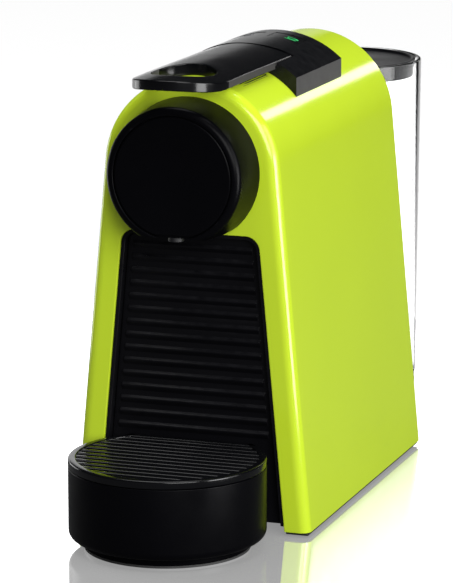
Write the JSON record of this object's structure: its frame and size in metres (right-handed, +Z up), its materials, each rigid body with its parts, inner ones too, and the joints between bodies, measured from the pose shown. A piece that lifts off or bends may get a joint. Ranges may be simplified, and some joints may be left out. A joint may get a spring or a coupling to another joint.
{
  "type": "pod coffee machine",
  "caption": "Slim counter-top machine that brews coffee from pods: arched casing, top lever, round brewing head, round drip tray on a pull-out drawer, clear rear water tank.",
  "frame": {"origin": "on the table, under the middle of the whole machine's box", "axes": "+Z up, +Y from the cup side to the water tank, +X to the right of a person who faces the cup side"},
  "size_m": [0.1096, 0.325, 0.2055],
  "materials": {
    "lime_gloss": "glossy injection-moulded ABS, yellow-green",
    "black_gloss": "glossy black, piano finish",
    "black_satin": "fine satin black",
    "black_structure": "plain moulded black",
    "dark_engineering": "glass-filled grey-black plastic",
    "clear_tank": "clear moulded plastic",
    "rubber": "matt black rubber",
    "seal_silicone": "silicone",
    "hose": "translucent silicone hose",
    "steel": "stainless steel",
    "cast_block": "cast aluminium",
    "pump_casing": "moulded nylon with a steel yoke",
    "board": "printed circuit board"
  },
  "bodies": {
    "machine": {"outer_shell": "lime_gloss", "control_saddle": "black_gloss", "brew_head_cover": "black_satin", "brew_head_face": "black_satin", "front_frame": "black_satin", "base_plate": "black_structure", "rear_cover": "black_structure", "tank_platform": "black_structure", "capsule_chute": "black_structure", "coffee_spout": "black_structure", "cord_gland": "black_structure", "brew_frame": "dark_engineering", "extraction_plate": "dark_engineering", "flow_meter": "dark_engineering", "rubber_feet": "rubber", "pump_mounts": "rubber", "tank_inlet_seal": "seal_silicone", "suction_hose": "hose", "pump_hose": "hose", "cage_hose": "hose", "rear_screws": "steel", "lever_hinge_pin": "steel", "rear_link_pin": "steel", "thermoblock": "cast_block", "pump": "pump_casing", "control_board": "board"},
    "lever": {"lever_strap": "black_gloss", "lever_crank": "dark_engineering", "crank_pins": "steel"},
    "pull_links": {"pull_links": "steel"},
    "toggle_rear": {"toggle_rear_links": "steel"},
    "toggle_front": {"toggle_front_links": "steel"},
    "cage": {"capsule_cage": "dark_engineering", "cage_seal": "seal_silicone", "piercing_blades": "steel", "cage_link_pin": "steel"},
    "button_espresso": {"button_espresso": "black_gloss"},
    "button_lungo": {"button_lungo": "black_gloss"},
    "drawer": {"drawer_sled": "black_structure", "drawer_front": "black_satin", "capsule_bin": "black_structure", "drip_base": "black_satin", "drip_base_foot": "rubber"},
    "grille": {"drip_grille": "black_satin"},
    "tank": {"water_tank": "clear_tank"},
    "tank_lid": {"tank_lid": "black_satin"},
    "tank_valve": {"tank_valve": "dark_engineering"}
  },
  "joints": [
    {"name": "lever_hinge", "type": "hinge", "parent": "machine", "child": "lever", "pos_m": [0, -0.02525, 0.1945], "axis": [-1, 0, 0], "range_deg": [0, 55]},
    {"name": "pull_links_hinge", "type": "hinge", "parent": "lever", "child": "pull_links", "pos_m": [0, -0.02525, 0.1855], "axis": [1, 0, 0], "range_deg": [0, 104.2]},
    {"name": "toggle_rear_hinge", "type": "hinge", "parent": "machine", "child": "toggle_rear", "pos_m": [0, 0.01275, 0.1595], "axis": [-1, 0, 0], "range_deg": [0, 65.5]},
    {"name": "cage_slide", "type": "slide", "parent": "machine", "child": "cage", "axis": [0, 1, 0], "range_m": [0, 0.0281]},
    {"name": "toggle_front_hinge", "type": "hinge", "parent": "cage", "child": "toggle_front", "pos_m": [0, -0.03525, 0.1595], "axis": [1, 0, 0], "range_deg": [0, 65.5]},
    {"name": "button_espresso_press", "type": "slide", "parent": "machine", "child": "button_espresso", "axis": [0, 0, -1], "range_m": [0, 0.0008], "stiffness_N_per_m": 400},
    {"name": "button_lungo_press", "type": "slide", "parent": "machine", "child": "button_lungo", "axis": [0, 0, -1], "range_m": [0, 0.0008], "stiffness_N_per_m": 400},
    {"name": "drawer_slide", "type": "slide", "parent": "machine", "child": "drawer", "axis": [0, -1, 0], "range_m": [0, 0.1]},
    {"name": "grille_lift", "type": "slide", "parent": "drawer", "child": "grille", "axis": [0, 0, 1], "range_m": [0, 0.03]},
    {"name": "tank_lift", "type": "slide", "parent": "machine", "child": "tank", "axis": [0, 0, 1], "range_m": [0, 0.06]},
    {"name": "tank_lid_lift", "type": "slide", "parent": "tank", "child": "tank_lid", "axis": [0, 0, 1], "range_m": [0, 0.03]},
    {"name": "tank_valve_lift", "type": "slide", "parent": "tank", "child": "tank_valve", "axis": [0, 0, 1], "range_m": [0, 0.0015], "stiffness_N_per_m": 150}
  ],
  "couplings": [
    {"joint": "pull_links_hinge", "follows": "lever_hinge", "ratio": 1.8909},
    {"joint": "toggle_rear_hinge", "follows": "lever_hinge", "ratio": 1.1887},
    {"joint": "toggle_front_hinge", "follows": "lever_hinge", "ratio": 1.1887},
    {"joint": "cage_slide", "follows": "lever_hinge", "m_per_rad": 0.029169}
  ]
}
